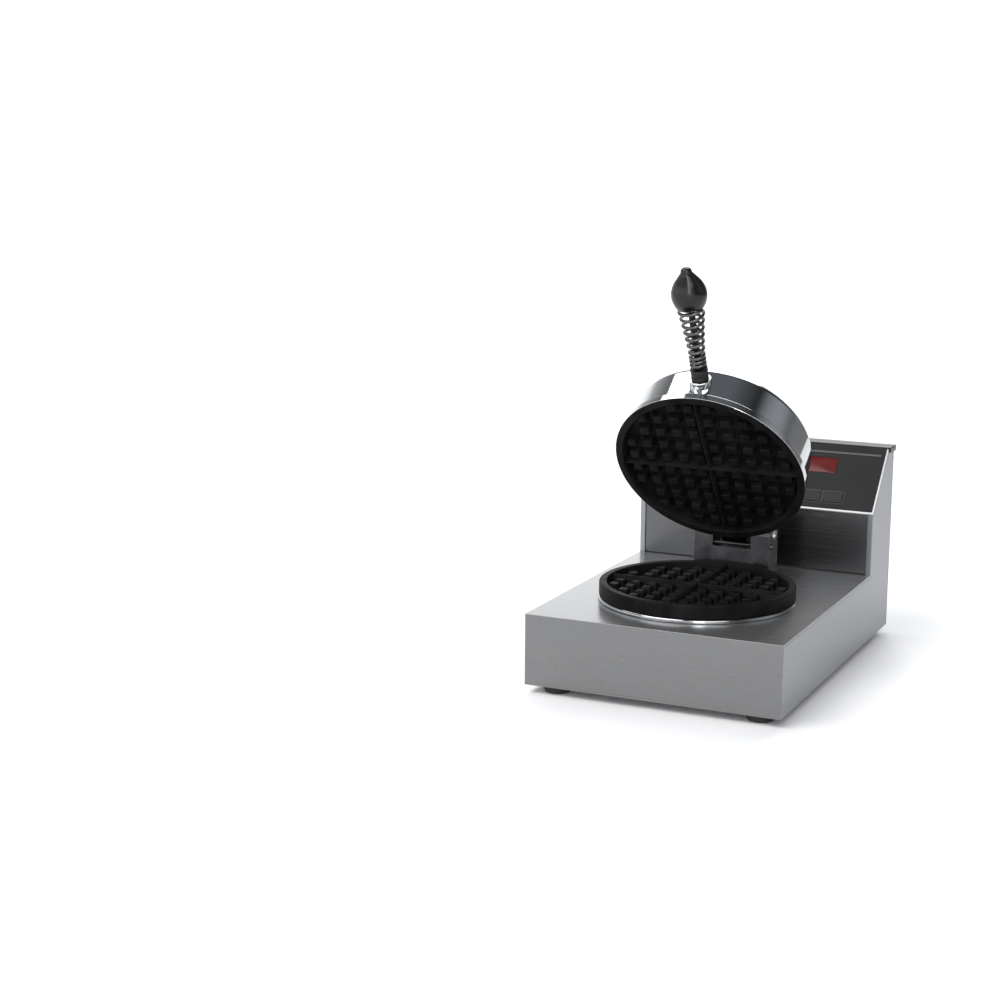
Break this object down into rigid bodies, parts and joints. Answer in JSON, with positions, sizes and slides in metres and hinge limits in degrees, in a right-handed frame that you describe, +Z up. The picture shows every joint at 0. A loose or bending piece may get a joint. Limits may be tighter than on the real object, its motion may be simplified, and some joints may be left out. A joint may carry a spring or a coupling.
{
  "type": "waffle baker",
  "caption": "Countertop waffle baker with a hinged round lid on a cast hinge arm, deep-pocket grids, a sloping control console and a spiral grip handle.",
  "frame": {"origin": "on the surface it stands on, under the middle of the object's bounding box with the lid open as shown", "axes": "+Z up, +X to the right as seen from the front, -Y towards the user, with the handle and the low deck at -Y and the control console at +Y"},
  "size_m": [0.271, 0.407, 0.4263],
  "materials": {
    "brushed_sheet": "brushed stainless sheet",
    "polished_steel": "polished stainless steel",
    "bracket_steel": "dark grey coated steel",
    "zinc": "zinc-plated fasteners and fittings",
    "cast_aluminium": "as-cast light grey aluminium",
    "grid_black": "black non-stick coated casting",
    "rubber": "black moulded rubber",
    "panel_black": "black printed overlay",
    "key_grey": "dark grey key caps",
    "red_lens": "dark red display window",
    "black_plastic": "moulded black plastic",
    "knob_black": "glossy black phenolic",
    "spring_steel": "bare spring wire",
    "board_green": "green circuit board",
    "ceramic_fibre": "pressed ceramic fibre",
    "heater_sheath": "heat-darkened steel sheath",
    "bronze": "sintered bronze"
  },
  "bodies": {
    "base": {"deck_and_apron": "brushed_sheet", "side_panel_left": "brushed_sheet", "side_panel_right": "brushed_sheet", "backsplash": "brushed_sheet", "control_panel": "brushed_sheet", "top_cap": "brushed_sheet", "rear_cover": "brushed_sheet", "bottom_pan": "brushed_sheet", "foot_front_left": "rubber", "foot_front_right": "rubber", "foot_rear_left": "rubber", "foot_rear_right": "rubber", "foot_screw_front_left": "zinc", "foot_screw_front_right": "zinc", "foot_screw_rear_left": "zinc", "foot_screw_rear_right": "zinc", "cord_gland": "black_plastic", "gland_nut": "black_plastic", "control_overlay": "panel_black", "display_window": "red_lens", "display_module": "black_plastic", "control_board": "board_green", "switch_housing": "black_plastic", "transformer": "zinc", "power_relay": "black_plastic", "terminal_block": "black_plastic", "lower_trim_ring": "polished_steel", "lower_grid": "grid_black", "lower_heater": "heater_sheath", "lower_clamp_plate": "zinc", "lower_insulation": "ceramic_fibre", "lower_pan": "brushed_sheet", "lower_probe": "zinc", "hinge_bracket": "bracket_steel", "hinge_pin": "polished_steel", "pin_clip": "zinc", "bracket_tie_rod": "zinc", "bracket_screw_left": "zinc", "bracket_screw_right": "zinc"},
    "lid": {"lid_drum": "polished_steel", "upper_grid": "grid_black", "upper_heater": "heater_sheath", "upper_clamp_plate": "zinc", "upper_insulation": "ceramic_fibre", "upper_probe": "zinc", "hinge_arm": "cast_aluminium", "hinge_bushing": "bronze", "arm_bolt_front": "zinc", "arm_bolt_rear": "zinc", "handle_collar": "polished_steel", "handle_ferrule": "black_plastic", "handle_stud": "zinc", "handle_nut": "zinc", "handle_coil": "spring_steel", "handle_knob": "knob_black"},
    "power_rocker": {"switch_rocker": "black_plastic"},
    "left_key": {"key_left": "key_grey"},
    "middle_key": {"key_middle": "key_grey"},
    "right_key": {"key_right": "key_grey"}
  },
  "joints": [
    {"name": "lid_hinge", "type": "hinge", "parent": "base", "child": "lid", "pos_m": [0, 0.051, 0.1304], "axis": [-1, 0, 0], "range_deg": [-54.1, 40.9]},
    {"name": "rocker_tilt", "type": "hinge", "parent": "base", "child": "power_rocker", "pos_m": [-0.0975, 0.13351, 0.17218], "axis": [-1, 0, 0], "range_deg": [0, 18]},
    {"name": "key_left_press", "type": "slide", "parent": "base", "child": "left_key", "axis": [0, 0.7384, -0.6744], "range_m": [0, 0.0008], "stiffness_N_per_m": 400, "springref_m": -0.0003},
    {"name": "key_middle_press", "type": "slide", "parent": "base", "child": "middle_key", "axis": [0, 0.7384, -0.6744], "range_m": [0, 0.0008], "stiffness_N_per_m": 400, "springref_m": -0.0003},
    {"name": "key_right_press", "type": "slide", "parent": "base", "child": "right_key", "axis": [0, 0.7384, -0.6744], "range_m": [0, 0.0008], "stiffness_N_per_m": 400, "springref_m": -0.0003}
  ]
}
